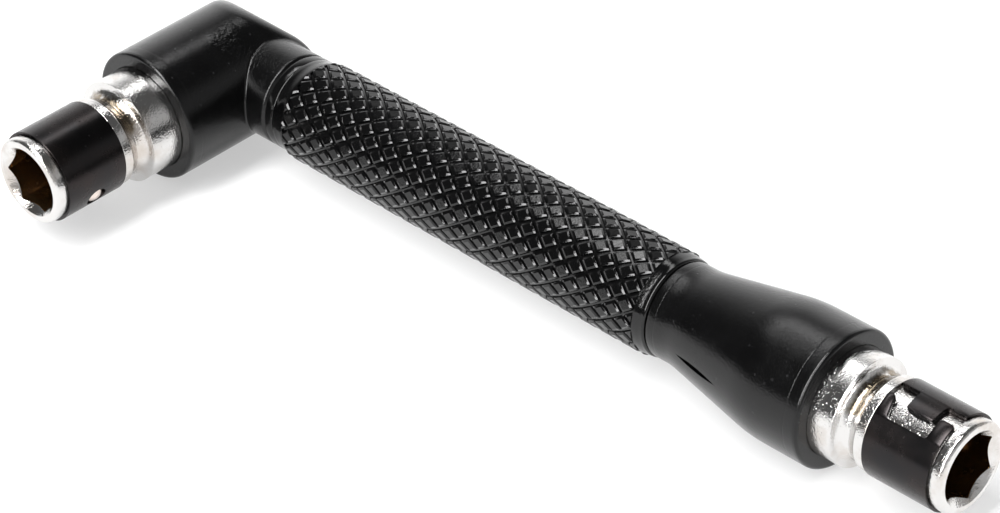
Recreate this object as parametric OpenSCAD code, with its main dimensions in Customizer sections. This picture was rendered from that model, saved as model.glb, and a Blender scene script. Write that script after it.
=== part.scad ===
// Offset screwdriver: a bent handle with a quarter inch bit socket in each of its two ends.
// Both arms lie in one level plane. The long arm runs along +X, the short arm along -Y.
// The origin is under the middle of the whole tool, on the surface that it lies on.

/* [Reach] */
// Length of the grip between its two seams
grip_len = 54.9; // [40:0.1:110]
// How far the offset socket stands out of the elbow
offset_stand_out = 16.3; // [15.6:0.1:17]
// How far the in-line socket stands out of the nose
inline_stand_out = 15.2; // [14.6:0.1:17]

/* [Elbow] */
// Outer radius of the elbow's barrel and of the nose's barrel
barrel_r = 7.4; // [6.9:0.05:8]
// Outer radius of the elbow's neck and of the grip's two ends
neck_r = 5.3; // [4.8:0.05:5.5]
// From the elbow's centre to the seam where the neck ends and the grip starts
neck_end = 10.3; // [9:0.1:12]
// Radius of the elbow's rounded back, about the long arm
back_r = 5.9; // [5.6:0.05:6.6]
// How far the barrel keeps its full height past the elbow's centre
back_start = 1; // [0.5:0.1:2]
// Rounding of the two housings' end edges
end_round = 0.4; // [0.1:0.05:0.6]

/* [Seams] */
// Depth of the V groove at a seam
seam_depth = 0.3; // [0.1:0.05:0.5]
// Half the width of the V groove at a seam
seam_half = 0.3; // [0.1:0.05:0.6]

/* [Grip] */
// Outer radius of the knurled grip
grip_r = 5.6; // [5.5:0.05:6.5]
// Length of the plain band between the neck's seam and the grip's rise
grip_band = 2; // [1:0.1:4]
// Length over which the grip rises to its full radius
grip_rise = 1; // [0.5:0.1:2]
// Length over which the grip drops to the nose's seam
grip_drop = 1.2; // [0.8:0.1:2]

/* [Nose] */
// Length of the nose's plain band next to the seam
land_len = 2.6; // [1:0.1:4]
// Radius of that band
land_r = 5.2; // [4.8:0.05:5.4]
// Length of the nose's cone
cone_len = 9.8; // [6:0.1:12]
// Radius at the wide end of the cone
cone_r = 7.15; // [6.6:0.05:7.35]
// Length over which the cone blends into the nose's barrel
blend_len = 2.4; // [1:0.1:4]
// Length of the slit in the side of the cone
slit_len = 6; // [4:0.1:7]
// Width of the slit at its middle
slit_w = 0.55; // [0.3:0.05:0.8]
// Depth of the slit at its middle
slit_depth = 0.8; // [0.3:0.05:1.2]
// From the seam to the middle of the slit
slit_at = 7.5; // [6.5:0.1:8.5]

/* [Core bar] */
// Across flats of the hexagon bar inside the handle
bar_flats = 6; // [5:0.1:6.2]
// How far the bar reaches past the elbow's centre
bar_back = 4.6; // [3.6:0.1:4.8]
// How far the bar reaches into the nose past its seam
bar_in_nose = 9.8; // [8.4:0.1:16]
// Plastic left between the bar's end and the in-line socket's shank
nose_wall = 2.2; // [1.4:0.1:6]
// Plastic left between the bar's side and the offset socket's shank
elbow_wall = 1.7; // [1:0.1:4]
// Width of the locking groove near each end of the bar
bar_groove_w = 1.6; // [1:0.1:2.5]
// Depth of that groove below the bar's flats
bar_groove_depth = 0.5; // [0.2:0.1:0.8]
// From each end of the bar to the middle of its groove
bar_groove_at = 3; // [2:0.1:4]

/* [Bit socket] */
// Across flats of the hexagon bore
hex_flats = 6.4; // [6.35:0.01:6.5]
// Depth of the hexagon bore
hex_depth = 14.5; // [12:0.1:16]
// Depth of the round relief under the hexagon bore
relief_depth = 1.5; // [0.5:0.1:2]
// Radius of that relief
relief_r = 3; // [2:0.05:3.15]
// Radius of the countersink at the mouth
mouth_r = 4.05; // [3.8:0.01:4.2]
// Radius of the front flange
flange_r = 4.85; // [4.75:0.05:5.1]
// Rounding of the front flange
flange_round = 0.45; // [0.3:0.05:0.7]
// Length of the front flange
flange_len = 1.3; // [1:0.05:1.6]
// Radius of the shoulder behind the clip
shoulder_r = 5; // [4.8:0.05:5.1]
// Radius at the bottom of the waist
waist_r = 4.5; // [4.3:0.05:4.8]
// From the front face to the middle of the waist
waist_at = 11.3; // [11.1:0.1:11.5]
// Radius of the round groove that makes the waist
waist_groove_r = 1.05; // [0.9:0.05:1.2]
// Radius of the collar
collar_r = 5.8; // [5.6:0.05:6.2]
// From the front face to the collar's front edge
collar_from = 12.35; // [12.2:0.05:12.6]
// From the front face to the collar's back face
collar_to = 17.4; // [17.1:0.1:18]
// Rounding of the collar's front edge
collar_round = 0.85; // [0.2:0.05:0.9]
// Whole length of the socket
socket_len = 24.6; // [23.5:0.1:25]
// Across flats of the socket's embedded shank
shank_flats = 8; // [7:0.1:8.5]
// Radius at the bottom of the shank's locking groove
shank_groove_r = 3.4; // [3:0.1:3.4]
// Width of that groove
shank_groove_w = 1.6; // [1:0.1:2.5]

/* [Clip and ball] */
// Inner radius of the spring clip
clip_bore_r = 4.65; // [4.6:0.01:4.8]
// Wall of the spring clip
clip_wall = 0.5; // [0.4:0.05:0.7]
// Length of the spring clip
clip_len = 7.7; // [7:0.1:8]
// Width of the clip's stepped gap, along its rim
clip_gap = 1.75; // [1:0.05:2.2]
// How far the clip's tab reaches past its shoulders, along the rim
tab_reach = 2.5; // [1.5:0.05:3]
// Width of the tab
tab_w = 3.4; // [2.4:0.1:4]
// Gap between the tab's sides and the prongs beside it
tab_gap = 0.55; // [0.3:0.05:0.8]
// Radius of the detent ball
ball_r = 1.25; // [1.15:0.01:1.35]
// How far the ball stands into the hexagon bore
ball_bite = 0.45; // [0.3:0.05:0.5]
// Radius of the clip's hole over the ball
clip_hole_r = 1.1; // [1:0.01:1.12]
// Radius of the opening through which the ball stands into the bore
ball_mouth_r = 1.1; // [1.05:0.01:1.12]

/* [Fits] */
// Clearance round pieces that are moulded in or slid on
fit = 0.04; // [0.02:0.01:0.1]
// Clearance round the detent ball in its drilled hole
ball_fit = 0.05; // [0.03:0.01:0.1]
// Clearance at each end of the clip in its seat
clip_play = 0.08; // [0.05:0.01:0.15]

/* [Hidden] */
round_fn = 96;
hex_fn = 6;
// One overrun serves every cut
over = 1;
// Turn of each socket about its arm, in degrees
offset_turn = -30;
inline_turn = -60;
hex_corner_share = 1 / cos(180 / hex_fn);
// Places along each arm, all from the elbow's centre
offset_reach = bar_flats / 2 + elbow_wall + socket_len;
elbow_end = offset_reach - offset_stand_out;
grip_end = neck_end + grip_len;
bar_end = grip_end + bar_in_nose;
inline_reach = bar_end + nose_wall + socket_len;
nose_end = inline_reach - inline_stand_out;
bar_hole_r = bar_flats / 2 * hex_corner_share + fit;
// The middle of the whole tool, seen from the elbow's centre
mid_x = (inline_reach - barrel_r) / 2;
mid_y = (barrel_r - offset_reach) / 2;
clip_r = clip_bore_r + clip_wall;
seat_r = clip_bore_r - fit;
seat_end = flange_len + clip_len + 2 * clip_play;
clip_mid = (flange_len + seat_end) / 2;
// From the socket's axis to the ball's centre, and to the lip that stops the ball
ball_at_r = hex_flats / 2 - ball_bite + ball_r;
lip_r = ball_at_r - sqrt(ball_r * ball_r - ball_mouth_r * ball_mouth_r) - ball_fit / 2;
// The clip's stepped gap lies opposite its ball, and is given in degrees round the rim
gap_turn = 180 * clip_gap / (PI * clip_r);
tab_turn = 180 * tab_reach / (PI * clip_r);
tab_edge = 180 - gap_turn / 2;
tab_root = tab_edge - tab_turn;

// Moves a piece from the elbow's centre to the whole tool's frame
module placed() {
    translate([-mid_x, -mid_y, barrel_r]) children();
}

// Turns +Z to +X, for a piece of the long arm
module along_long() {
    rotate([90, 0, 90]) children();
}

// Turns +Z to -Y, for a piece of the short arm
module along_short() {
    rotate([90, 0, 0]) children();
}

// Puts a piece of a socket, with its front face at height zero, on the short arm
module offset_seat() {
    along_short() translate([0, 0, offset_reach]) rotate([0, 0, offset_turn]) children();
}

// The same on the long arm
module inline_seat() {
    along_long() translate([0, 0, inline_reach]) rotate([0, 0, inline_turn]) children();
}

module rod(r, from, to) {
    translate([0, 0, from]) cylinder(r = r, h = to - from, $fn = round_fn);
}

module hex_rod(flats, from, to) {
    translate([0, 0, from])
        rotate([0, 0, 180 / hex_fn])
            cylinder(r = flats / 2 * hex_corner_share, h = to - from, $fn = hex_fn);
}

module ring(inner, outer, from, to) {
    translate([0, 0, from])
        rotate_extrude($fn = round_fn)
            translate([inner, 0]) square([outer - inner, to - from]);
}

module turned() {
    rotate_extrude($fn = round_fn) children();
}

// Half section of a rod whose upper end has a rounded edge
module round_end(r, round, from, to) {
    translate([0, from]) square([r - round, to - from]);
    translate([0, from]) square([r, to - round - from]);
    translate([r - round, to - round]) circle(r = round, $fn = round_fn);
}

// The bar along +Z: grown all round, it is the hollow that the bar fills
module bar_shape(grow) {
    difference() {
        hex_rod(bar_flats + 2 * grow, -bar_back - grow, bar_end + grow);
        for (at = [bar_groove_at - bar_back, bar_end - bar_groove_at])
            ring(bar_flats / 2 - bar_groove_depth + grow, bar_flats,
                 at - bar_groove_w / 2 + grow, at + bar_groove_w / 2 - grow);
    }
}

// The end of a socket that its housing holds: grown all round, it is the hollow for it
module shank_shape(grow) {
    groove_at = -(collar_to + socket_len) / 2;
    difference() {
        hex_rod(shank_flats + 2 * grow, -socket_len - grow, -collar_to + over);
        ring(shank_groove_r + grow, shank_flats,
             groove_at - shank_groove_w / 2 + grow, groove_at + shank_groove_w / 2 - grow);
    }
    rod(collar_r + grow, -collar_to - grow, -collar_from - collar_round);
}

// The elbow seen along the long arm: full height, then a flat slope into the round back
module elbow_side() {
    slope_turn = atan2(barrel_r, back_start) - acos(back_r / norm([back_start, barrel_r]));
    circle(r = back_r, $fn = round_fn);
    polygon([
        [-elbow_end, -barrel_r], [back_start, -barrel_r],
        back_r * [cos(slope_turn), -sin(slope_turn)],
        back_r * [cos(slope_turn), sin(slope_turn)],
        [back_start, barrel_r], [-elbow_end, barrel_r]
    ]);
}

module elbow_barrel() {
    intersection() {
        along_short() turned() round_end(barrel_r, end_round, -barrel_r, elbow_end);
        translate([-barrel_r, 0, 0])
            along_long() linear_extrude(2 * barrel_r) elbow_side();
    }
}

module elbow_housing() {
    color([0.13, 0.13, 0.14]) placed() difference() {
        union() {
            elbow_barrel();
            along_long() turned()
                polygon([
                    [0, 0], [neck_r, 0], [neck_r, neck_end - seam_half],
                    [neck_r - seam_depth, neck_end], [0, neck_end]
                ]);
        }
        along_long() bar_shape(fit);
        offset_seat() shank_shape(fit);
    }
}

module grip_sleeve() {
    rise_from = neck_end + grip_band;
    drop_to = grip_end - seam_half;
    color([0.1, 0.1, 0.11]) placed() along_long() difference() {
        turned()
            polygon([
                [0, neck_end], [neck_r - seam_depth, neck_end], [neck_r, neck_end + seam_half],
                [neck_r, rise_from], [grip_r, rise_from + grip_rise],
                [grip_r, drop_to - grip_drop], [neck_r, drop_to],
                [neck_r - seam_depth, grip_end], [0, grip_end]
            ]);
        rod(bar_hole_r, neck_end - over, grip_end + over);
    }
}

// The lens-shaped slit in the side of the cone, between two round bows
module slit() {
    bow_r = (slit_len * slit_len + slit_w * slit_w) / (4 * slit_w);
    outer_r = land_r + (cone_r - land_r) * (slit_at - land_len) / cone_len;
    translate([0, 0, grip_end + slit_at]) rotate([0, -90, 0]) intersection() {
        translate([0, bow_r - slit_w / 2, 0]) rod(bow_r, outer_r - slit_depth, barrel_r);
        translate([0, slit_w / 2 - bow_r, 0]) rod(bow_r, outer_r - slit_depth, barrel_r);
    }
}

module nose_housing() {
    cone_from = grip_end + land_len;
    cone_to = cone_from + cone_len;
    barrel_from = cone_to + blend_len;
    color([0.15, 0.15, 0.16]) placed() along_long() difference() {
        turned() {
            polygon([
                [0, grip_end], [land_r - seam_depth, grip_end], [land_r, grip_end + seam_half],
                [land_r, cone_from], [cone_r, cone_to], [barrel_r, barrel_from], [0, barrel_from]
            ]);
            round_end(barrel_r, end_round, barrel_from, nose_end);
        }
        bar_shape(fit);
        slit();
        translate([0, 0, inline_reach]) rotate([0, 0, inline_turn]) shank_shape(fit);
    }
}

module core_bar() {
    color([0.45, 0.45, 0.47]) placed() along_long() bar_shape(0);
}

// A bit socket along +Z with its front face at height zero and its ball hole towards +X
module bit_socket() {
    hex_r = hex_flats / 2;
    difference() {
        union() {
            turned() difference() {
                union() {
                    round_end(flange_r, flange_round, -flange_len, 0);
                    translate([0, -collar_to]) square([seat_r, collar_to - flange_len]);
                    translate([0, -collar_to]) square([shoulder_r, collar_to - seat_end]);
                    round_end(collar_r, collar_round, -collar_to, -collar_from);
                }
                translate([waist_r + waist_groove_r, -waist_at])
                    circle(r = waist_groove_r, $fn = round_fn);
            }
            shank_shape(0);
        }
        hex_rod(hex_flats, -hex_depth, over);
        rod(relief_r, -hex_depth - relief_depth, -hex_depth + over);
        turned()
            polygon([
                [0, hex_r - mouth_r], [hex_r, hex_r - mouth_r], [mouth_r, 0], [mouth_r, over],
                [0, over]
            ]);
        translate([0, 0, -clip_mid]) rotate([0, 90, 0]) {
            rod(ball_mouth_r, 0, flange_r);
            rod(ball_r + ball_fit, lip_r, flange_r);
        }
    }
}

// A wedge about the axis, between two turns in degrees and two heights
module wedge(from_turn, to_turn, from, to) {
    reach = 2 * clip_r;
    translate([0, 0, from])
        linear_extrude(to - from)
            polygon([
                [0, 0], reach * [cos(from_turn), sin(from_turn)], reach * [cos(to_turn), sin(to_turn)]
            ]);
}

// The spring clip round the socket: a split sleeve whose tab reaches between two prongs
module spring_clip() {
    back = -clip_len / 2;
    front = clip_len / 2;
    tab = tab_w / 2;
    prong = tab + tab_gap;
    translate([0, 0, -clip_mid]) difference() {
        ring(clip_bore_r, clip_r, back, front);
        wedge(tab_root, tab_root + gap_turn, back - over, -tab);
        wedge(tab_root, tab_root + gap_turn, tab, front + over);
        wedge(tab_root, tab_edge + gap_turn, -prong, -tab);
        wedge(tab_root, tab_edge + gap_turn, tab, prong);
        wedge(tab_edge, tab_edge + gap_turn, -prong, prong);
        rotate([0, 90, 0]) rod(clip_hole_r, 0, clip_r + over);
    }
}

module detent_ball() {
    translate([ball_at_r, 0, -clip_mid]) sphere(r = ball_r, $fn = round_fn);
}

module offset_socket() {
    color([0.8, 0.8, 0.82]) placed() offset_seat() bit_socket();
}

// The same clip, slid on with its other end first
module offset_clip() {
    color([0.25, 0.24, 0.26]) placed() offset_seat()
        translate([0, 0, -2 * clip_mid]) rotate([180, 0, 0]) spring_clip();
}

module offset_ball() {
    color([0.7, 0.7, 0.72]) placed() offset_seat() detent_ball();
}

module inline_socket() {
    color([0.8, 0.8, 0.82]) placed() inline_seat() bit_socket();
}

module inline_clip() {
    color([0.25, 0.24, 0.26]) placed() inline_seat() spring_clip();
}

module inline_ball() {
    color([0.7, 0.7, 0.72]) placed() inline_seat() detent_ball();
}

elbow_housing();
grip_sleeve();
nose_housing();
core_bar();
offset_socket();
offset_clip();
offset_ball();
inline_socket();
inline_clip();
inline_ball();
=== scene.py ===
"""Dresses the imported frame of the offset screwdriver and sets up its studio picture.

All sizes are in metres and all angles in degrees. The elbow's centre, where the axes of the
two arms cross, is the place from which every piece is measured.
"""

import logging
import math
from collections.abc import Iterator, Mapping
from contextlib import contextmanager
from dataclasses import dataclass
from enum import Enum

import bpy
import numpy as np
from mathutils import Matrix, Vector


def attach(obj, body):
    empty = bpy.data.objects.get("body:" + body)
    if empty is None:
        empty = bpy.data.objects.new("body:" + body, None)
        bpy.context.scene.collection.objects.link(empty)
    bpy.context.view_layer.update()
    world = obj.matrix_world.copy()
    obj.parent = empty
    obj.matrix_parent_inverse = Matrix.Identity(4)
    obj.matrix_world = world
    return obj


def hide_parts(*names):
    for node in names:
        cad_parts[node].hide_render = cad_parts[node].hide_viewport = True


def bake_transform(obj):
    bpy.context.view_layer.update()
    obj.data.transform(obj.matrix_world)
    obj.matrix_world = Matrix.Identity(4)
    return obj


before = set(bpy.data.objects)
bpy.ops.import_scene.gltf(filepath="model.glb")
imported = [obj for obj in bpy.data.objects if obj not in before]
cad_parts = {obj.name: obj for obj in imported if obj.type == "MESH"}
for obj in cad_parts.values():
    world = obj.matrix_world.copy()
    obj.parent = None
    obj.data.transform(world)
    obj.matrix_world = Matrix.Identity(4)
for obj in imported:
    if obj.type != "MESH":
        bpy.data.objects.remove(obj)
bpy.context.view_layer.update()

logging.basicConfig(level=logging.INFO, format="%(message)s")
LOG = logging.getLogger("offset_screwdriver")

MM = 0.001
ELBOW_CENTRE = Vector((-47.2 * MM, 10.95 * MM, 7.4 * MM))

Span = tuple[float, float]
Triple = tuple[float, float, float]
Colour = Triple
Outline = list[Span]
Piece = bpy.types.Object
Node = bpy.types.Node
Socket = bpy.types.NodeSocket
Sockets = Mapping[str, Socket]
Tree = bpy.types.NodeTree
Value = Socket | float


class Arm(Enum):
    """The two arms, each with the world direction of its local X, Y and Z axes."""

    LONG = ((0, 1, 0), (0, 0, 1), (1, 0, 0))
    SHORT = ((1, 0, 0), (0, 0, 1), (0, -1, 0))

    def matrix(self, along: float = 0.0, turn: float = 0.0) -> Matrix:
        """Gives the place of a piece that is modelled about local Z.

        Args:
            along: How far the piece's zero lies from the elbow's centre.
            turn: The piece's turn about the arm's axis.

        Returns:
            The matrix from the piece's own axes to the frame.
        """
        axes = Matrix(self.value).transposed().to_4x4()
        slide = Matrix.Translation((0, 0, along))
        return Matrix.Translation(ELBOW_CENTRE) @ axes @ slide @ Matrix.Rotation(math.radians(turn), 4, "Z")

    def station(self, along: float) -> float:
        """Gives where a place along the arm lies on the frame's axis that the arm follows."""
        return ELBOW_CENTRE.y - along if self is Arm.SHORT else ELBOW_CENTRE.x + along


@dataclass(frozen=True)
class Head:
    """One end of the tool, where a bit goes in."""

    word: str
    arm: Arm
    reach: float
    turn: float

    def matrix(self) -> Matrix:
        """Gives the place of a piece that is modelled back from the mouth, along -Z."""
        return self.arm.matrix(self.reach, self.turn)


HEADS = (
    Head("offset", Arm.SHORT, reach=29.3 * MM, turn=-30.0),
    Head("inline", Arm.LONG, reach=101.8 * MM, turn=-60.0),
)


class CutKind(Enum):
    """How one solid acts on another."""

    REMOVE = "DIFFERENCE"
    ADD = "UNION"
    KEEP_SHARED = "INTERSECT"


class Bench:
    """Modelling steps that every piece shares, done with Blender's operators."""

    segments: int = 128

    @staticmethod
    def deselect() -> None:
        """Deselects every object."""
        bpy.ops.object.select_all(action="DESELECT")

    @classmethod
    def pick(cls, piece: Piece) -> None:
        """Makes one object the only selected and the active one.

        Args:
            piece: The object to pick.
        """
        cls.deselect()
        piece.select_set(True)
        bpy.context.view_layer.objects.active = piece

    @staticmethod
    @contextmanager
    def editing() -> Iterator[None]:
        """Opens the active piece in edit mode with all of it selected, and closes it after.

        Returns:
            The context in which the piece can be edited.
        """
        bpy.ops.object.mode_set(mode="EDIT")
        bpy.ops.mesh.select_all(action="SELECT")
        yield
        bpy.ops.object.mode_set(mode="OBJECT")

    @staticmethod
    def face_outward() -> None:
        """Turns every face of the piece in edit mode outward."""
        bpy.ops.mesh.select_all(action="SELECT")
        bpy.ops.mesh.normals_make_consistent(inside=False)

    @classmethod
    def named(cls, piece: Piece, name: str) -> Piece:
        """Names an object and its mesh, and lays its place into its mesh.

        Args:
            piece: The object.
            name: Its name from now on.

        Returns:
            The same object.
        """
        cls.pick(piece)
        bpy.ops.object.transform_apply(location=True, rotation=True, scale=True)
        piece.name = name
        piece.data.name = name
        return piece

    @classmethod
    def turned(cls, name: str, outline: Outline) -> Piece:
        """Turns an outline about +Z, ring by ring, and closes both ends.

        Args:
            name: The new piece's name.
            outline: Radius and height of each ring, from one end to the other.

        Returns:
            The turned solid.
        """
        cls.deselect()
        radius, height = outline[0]
        bpy.ops.mesh.primitive_circle_add(
            vertices=cls.segments, radius=radius, fill_type="NGON", location=(0, 0, height)
        )
        piece = bpy.context.object
        with cls.editing():
            bpy.ops.mesh.delete(type="ONLY_FACE")
            bpy.ops.mesh.select_all(action="SELECT")
            for (r_from, z_from), (r_to, z_to) in zip(outline, outline[1:]):
                bpy.ops.mesh.extrude_region_move(
                    TRANSFORM_OT_translate={"value": (0, 0, z_to - z_from)}
                )
                if r_to != r_from:
                    scale = r_to / r_from
                    bpy.ops.transform.resize(value=(scale, scale, 1), center_override=(0, 0, z_to))
            bpy.ops.mesh.edge_face_add()
            bpy.ops.mesh.select_all(action="DESELECT")
            bpy.ops.mesh.select_mode(type="EDGE")
            bpy.ops.mesh.select_non_manifold()
            bpy.ops.mesh.edge_face_add()
            cls.face_outward()
            bpy.ops.mesh.select_mode(type="VERT")
        return cls.named(piece, name)

    @classmethod
    def rod(cls, radius: float, low: float, high: float, sides: int = 0) -> Piece:
        """Adds a rod along +Z, with a corner towards +Y where it has few sides.

        Args:
            radius: The rod's radius, out to its corners.
            low: Height of its lower end.
            high: Height of its upper end.
            sides: Number of its sides, or 0 for a smooth round.

        Returns:
            The rod.
        """
        cls.deselect()
        bpy.ops.mesh.primitive_cylinder_add(
            vertices=sides or cls.segments, radius=radius, depth=high - low,
            location=(0, 0, (low + high) / 2),
        )
        return cls.named(bpy.context.object, "cutter")

    @classmethod
    def modify(cls, piece: Piece, kind: str, **settings: object) -> None:
        """Puts a modifier on a piece and applies it.

        Args:
            piece: The piece to change.
            kind: The modifier's type.
            settings: The modifier's properties and their values.
        """
        change = piece.modifiers.new("change", kind)
        for key, value in settings.items():
            setattr(change, key, value)
        cls.pick(piece)
        bpy.ops.object.modifier_apply(modifier=change.name)

    @classmethod
    def combine(cls, piece: Piece, other: Piece, kind: CutKind) -> None:
        """Cuts, joins or crosses a piece with another, which is used up.

        Args:
            piece: The piece that stays.
            other: The piece that acts on it.
            kind: How it acts.
        """
        cls.modify(piece, "BOOLEAN", object=other, operation=kind.value, solver="EXACT")
        bpy.data.objects.remove(other, do_unlink=True)

    @classmethod
    def soften(cls, piece: Piece, width: float, angle: float, steps: int = 2) -> None:
        """Rounds every edge sharper than an angle.

        Args:
            piece: The piece to change.
            width: How wide the rounded edge is.
            angle: The angle past which an edge is rounded.
            steps: Number of faces across the rounded edge.
        """
        cls.modify(
            piece, "BEVEL", limit_method="ANGLE", angle_limit=math.radians(angle),
            width=width, segments=steps, harden_normals=False,
        )

    @classmethod
    def shade(cls, piece: Piece, angle: float = 35.0) -> None:
        """Shades a piece smooth, but for edges sharper than an angle."""
        cls.pick(piece)
        bpy.ops.object.shade_smooth_by_angle(angle=math.radians(angle))

    @classmethod
    def weigh(cls, piece: Piece) -> None:
        """Lets the large faces keep their own shading beside narrow rounded edges."""
        cls.modify(piece, "WEIGHTED_NORMAL", mode="FACE_AREA", keep_sharp=True)

    @staticmethod
    def points(piece: Piece) -> np.ndarray:
        """Reads a piece's points.

        Args:
            piece: The piece to read.

        Returns:
            A row of three numbers for each point.
        """
        flat = np.empty(len(piece.data.vertices) * 3)
        piece.data.vertices.foreach_get("co", flat)
        return flat.reshape(-1, 3)

    @staticmethod
    def set_points(piece: Piece, points: np.ndarray) -> None:
        """Writes rows of points back to a piece."""
        piece.data.vertices.foreach_set("co", points.ravel())
        piece.data.update()

    @staticmethod
    def wrapped(turn: np.ndarray, radius: np.ndarray, height: np.ndarray) -> np.ndarray:
        """Wraps points round +Z.

        Args:
            turn: Each point's angle, in radians.
            radius: Each point's distance from the axis.
            height: Each point's height.

        Returns:
            A row of three numbers for each point.
        """
        return np.stack([radius * np.cos(turn), radius * np.sin(turn), height], axis=1)

    @staticmethod
    def arc(centre: Span, radius: float, start: float, end: float, steps: int) -> Outline:
        """Gives the points of an arc in an outline.

        Args:
            centre: The arc's centre, as radius and height.
            radius: The arc's own radius.
            start: The angle at which it starts, from outward towards up.
            end: The angle at which it ends.
            steps: Number of straight runs that make it up.

        Returns:
            The arc's points, both ends among them.
        """
        angles = [math.radians(start + (end - start) * i / steps) for i in range(steps + 1)]
        return [
            (centre[0] + radius * math.cos(a), centre[1] + radius * math.sin(a)) for a in angles
        ]


def soft_max(a: np.ndarray, b: np.ndarray, reach: float) -> np.ndarray:
    """Gives the larger of two fields, rounded where they come near each other.

    Args:
        a: The one field's values.
        b: The other field's values.
        reach: The difference within which they are rounded together.

    Returns:
        The rounded larger values.
    """
    near = np.maximum(reach - np.abs(a - b), 0) / reach
    return np.maximum(a, b) + near * near * reach / 4


def soft_min(a: np.ndarray, b: np.ndarray, reach: float) -> np.ndarray:
    """Gives the smaller of two fields, rounded where they come within a reach of each other."""
    return -soft_max(-a, -b, reach)


class Nodes:
    """Short ways to lay nodes in a tree."""

    def __init__(self, tree: Tree) -> None:
        """Keeps the tree that the nodes go into."""
        self.tree = tree

    def add(self, kind: str, inputs: Mapping[str | int, object] | None = None, **values: object) -> Node:
        """Adds a node.

        Args:
            kind: The node's type.
            inputs: What its inputs take, by name or by number.
            values: Its properties and their values.

        Returns:
            The new node.
        """
        node = self.tree.nodes.new(kind)
        for key, value in values.items():
            setattr(node, key, value)
        self.fill(node, inputs or {})
        return node

    def link(self, source: Socket, target: Socket) -> None:
        """Links one socket to another."""
        self.tree.links.new(source, target)

    def feed(self, target: Socket, value: object) -> None:
        """Links a socket to an input, or sets a plain value there.

        Args:
            target: The input.
            value: The socket or the plain value.
        """
        if isinstance(value, bpy.types.NodeSocket):
            self.link(value, target)
        else:
            target.default_value = value

    def fill(self, node: Node, inputs: Mapping[str | int, object]) -> None:
        """Feeds several inputs of a node, each given by name or by number."""
        for key, value in inputs.items():
            self.feed(node.inputs[key], value)

    def math(self, operation: str, a: Value, b: Value = 0.0, clamp: bool = False) -> Socket:
        """Works on one or two values.

        Args:
            operation: What is done with them.
            a: The first value.
            b: The second value.
            clamp: Whether the result is kept between 0 and 1.

        Returns:
            The result.
        """
        return self.add("ShaderNodeMath", {0: a, 1: b}, operation=operation, use_clamp=clamp).outputs[0]

    def times(self, a: Value, b: Value, clamp: bool = False) -> Socket:
        """Multiplies two values."""
        return self.math("MULTIPLY", a, b, clamp)

    def less(self, a: Value, b: Value, clamp: bool = False) -> Socket:
        """Takes the second value from the first."""
        return self.math("SUBTRACT", a, b, clamp)

    def larger(self, a: Value, b: Value) -> Socket:
        """Gives the larger of two values."""
        return self.math("MAXIMUM", a, b)

    def apart(self, a: Value, b: Value) -> Socket:
        """Gives how far apart two values are."""
        return self.math("ABSOLUTE", self.less(a, b))

    def summed(self, *layers: tuple[Value, float]) -> Socket:
        """Adds up values.

        Args:
            layers: Each value with its own weight.

        Returns:
            The sum of the values times their weights.
        """
        parts = [value if weight == 1 else self.times(value, weight) for value, weight in layers]
        total = parts[0]
        for part in parts[1:]:
            total = self.math("ADD", total, part)
        return total

    def ramp(self, value: Value, source: Span, target: Span = (0.0, 1.0)) -> Socket:
        """Maps a range of a value to another, without going past it.

        Args:
            value: The value to map.
            source: The range that it has.
            target: The range that the result has.

        Returns:
            The mapped value.
        """
        inputs = {
            "Value": value, "From Min": source[0], "From Max": source[1],
            "To Min": target[0], "To Max": target[1],
        }
        return self.add("ShaderNodeMapRange", inputs, clamp=True).outputs["Result"]

    def mix(self, factor: Value, a: Socket | Colour, b: Socket | Colour) -> Socket:
        """Mixes two colours.

        Args:
            factor: Share of the second colour.
            a: The first colour.
            b: The second colour.

        Returns:
            The mixed colour.
        """
        node = self.add("ShaderNodeMix", {"Factor": factor}, data_type="RGBA")
        for name, value in (("A", a), ("B", b)):
            socket = next(s for s in node.inputs if s.name == name and s.type == "RGBA")
            self.feed(socket, (*value, 1.0) if isinstance(value, tuple) else value)
        return next(s for s in node.outputs if s.type == "RGBA")

    def noise(self, vector: Socket, scale: Value, detail: float = 4.0, rough: float = 0.55) -> Socket:
        """Adds a noise texture.

        Args:
            vector: The place that it reads.
            scale: How fine it is, in spots to the metre.
            detail: Number of finer layers over it.
            rough: How strong the finer layers are.

        Returns:
            Its value, from 0 to 1.
        """
        inputs = {"Vector": vector, "Scale": scale, "Detail": detail, "Roughness": rough}
        return self.add("ShaderNodeTexNoise", inputs).outputs["Fac"]

    def place(
        self, vector: Socket, scale: Triple = (1, 1, 1), turn: Triple = (0, 0, 0), shift: Triple = (0, 0, 0),
    ) -> Socket:
        """Scales, turns and moves a texture's place.

        Args:
            vector: The place.
            scale: Its scale along each axis.
            turn: Its turn about each axis.
            shift: How far it is moved along each axis.

        Returns:
            The new place.
        """
        angles = [math.radians(v) for v in turn]
        inputs = {"Vector": vector, "Scale": scale, "Rotation": angles, "Location": shift}
        return self.add("ShaderNodeMapping", inputs).outputs["Vector"]

    def along(self, where: Socket, arm: Arm) -> Socket:
        """Turns a texture's place so that its X follows the axis that an arm lies on."""
        return self.place(where, turn=(0, 0, -90)) if arm is Arm.SHORT else where

    def axes(self, vector: Socket) -> Sockets:
        """Splits a vector into its X, Y and Z."""
        return self.add("ShaderNodeSeparateXYZ", {0: vector}).outputs

    def bump(self, shader: Node, height: Socket, depth: float) -> None:
        """Feeds a height, times a depth in metres, into a shader's normal."""
        node = self.add("ShaderNodeBump", {"Strength": 1.0, "Distance": depth, "Height": height})
        self.link(node.outputs["Normal"], shader.inputs["Normal"])


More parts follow.
